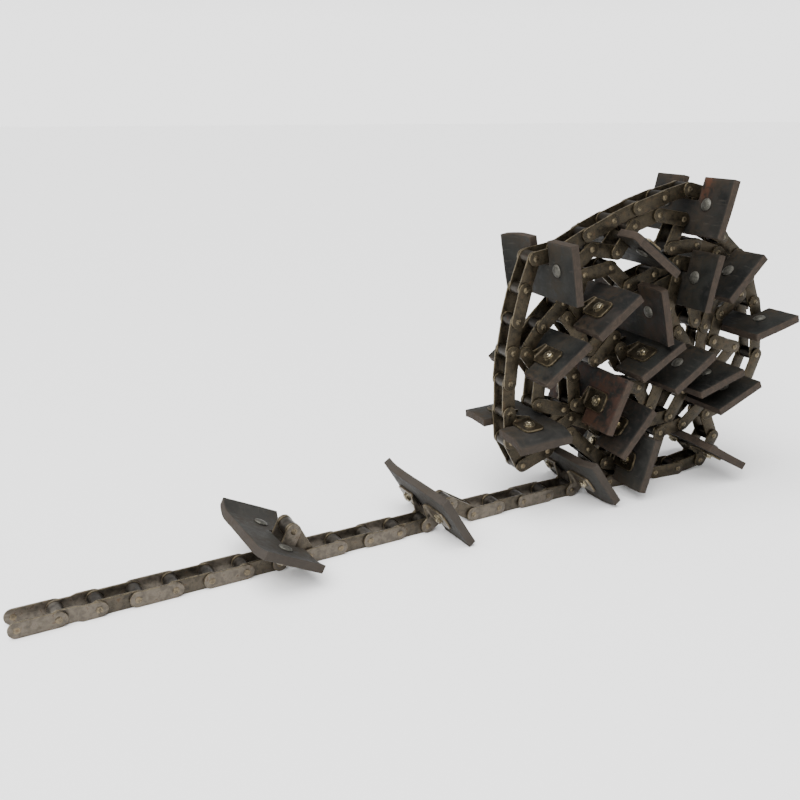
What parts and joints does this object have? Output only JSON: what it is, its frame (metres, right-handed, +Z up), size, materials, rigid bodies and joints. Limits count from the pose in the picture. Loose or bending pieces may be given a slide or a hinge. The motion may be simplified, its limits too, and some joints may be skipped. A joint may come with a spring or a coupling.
{
  "type": "coiled elevator chain with rubber paddles",
  "caption": "Steel roller chain with bolted rubber paddles, as used in a grain elevator, rolled up on edge with its free end laid out straight along the floor.",
  "frame": {"origin": "on the floor, under the middle of the part's bounding box", "axes": "X runs along the chain's plane from the free end to the coil, Y points across the chain to the side that the picture doesn't show, Z is up"},
  "size_m": [0.9858, 0.1942, 0.4014],
  "materials": {
    "chain_steel": "worn, oily and lightly rusted",
    "paddle_rubber": "fabric-reinforced rubber, dusty"
  },
  "bodies": {
    "coil": {"link_08": "chain_steel", "link_09": "chain_steel", "link_10": "chain_steel", "link_11": "chain_steel", "link_12": "chain_steel", "link_13": "chain_steel", "link_14": "chain_steel", "link_15": "chain_steel", "link_16": "chain_steel", "link_17": "chain_steel", "link_18": "chain_steel", "link_19": "chain_steel", "paddle_008": "paddle_rubber", "paddle_014": "paddle_rubber", "paddle_020": "paddle_rubber", "paddle_026": "paddle_rubber", "paddle_032": "paddle_rubber", "paddle_038": "paddle_rubber", "paddle_044": "paddle_rubber", "paddle_050": "paddle_rubber", "paddle_056": "paddle_rubber", "paddle_062": "paddle_rubber", "paddle_068": "paddle_rubber", "paddle_074": "paddle_rubber", "paddle_080": "paddle_rubber", "paddle_086": "paddle_rubber", "paddle_092": "paddle_rubber", "paddle_098": "paddle_rubber", "paddle_104": "paddle_rubber", "paddle_110": "paddle_rubber", "paddle_116": "paddle_rubber", "paddle_122": "paddle_rubber", "paddle_128": "paddle_rubber", "strand_020": "chain_steel", "strand_026": "chain_steel", "strand_032": "chain_steel", "strand_038": "chain_steel", "strand_044": "chain_steel", "strand_050": "chain_steel", "strand_056": "chain_steel", "strand_062": "chain_steel", "strand_068": "chain_steel", "strand_074": "chain_steel", "strand_080": "chain_steel", "strand_086": "chain_steel", "strand_092": "chain_steel", "strand_098": "chain_steel", "strand_104": "chain_steel", "strand_110": "chain_steel", "strand_116": "chain_steel", "strand_122": "chain_steel", "strand_128": "chain_steel"},
    "free_link_07": {"link_07": "chain_steel"},
    "free_link_06": {"link_06": "chain_steel"},
    "free_link_05": {"link_05": "chain_steel"},
    "free_link_04": {"link_04": "chain_steel"},
    "free_link_03": {"link_03": "chain_steel"},
    "free_link_02": {"link_02": "chain_steel"},
    "free_link_01": {"link_01": "chain_steel"}
  },
  "joints": [
    {"name": "pin_08", "type": "hinge", "parent": "coil", "child": "free_link_07", "pos_m": [-0.21663, -0.02203, 0.00864], "axis": [-0.1097, 0.994, 0], "range_deg": [0, 12]},
    {"name": "pin_07", "type": "hinge", "parent": "free_link_07", "child": "free_link_06", "pos_m": [-0.2548, -0.02624, 0.00864], "axis": [-0.1097, 0.994, 0], "range_deg": [0, 30]},
    {"name": "pin_06", "type": "hinge", "parent": "free_link_06", "child": "free_link_05", "pos_m": [-0.29297, -0.03046, 0.00864], "axis": [-0.1097, 0.994, 0], "range_deg": [0, 30]},
    {"name": "pin_05", "type": "hinge", "parent": "free_link_05", "child": "free_link_04", "pos_m": [-0.33114, -0.03467, 0.00864], "axis": [-0.1097, 0.994, 0], "range_deg": [0, 30]},
    {"name": "pin_04", "type": "hinge", "parent": "free_link_04", "child": "free_link_03", "pos_m": [-0.36931, -0.03889, 0.00864], "axis": [-0.1097, 0.994, 0], "range_deg": [0, 30]},
    {"name": "pin_03", "type": "hinge", "parent": "free_link_03", "child": "free_link_02", "pos_m": [-0.40747, -0.0431, 0.00864], "axis": [-0.1097, 0.994, 0], "range_deg": [0, 30]},
    {"name": "pin_02", "type": "hinge", "parent": "free_link_02", "child": "free_link_01", "pos_m": [-0.44564, -0.04731, 0.00864], "axis": [-0.1097, 0.994, 0], "range_deg": [0, 30]}
  ]
}
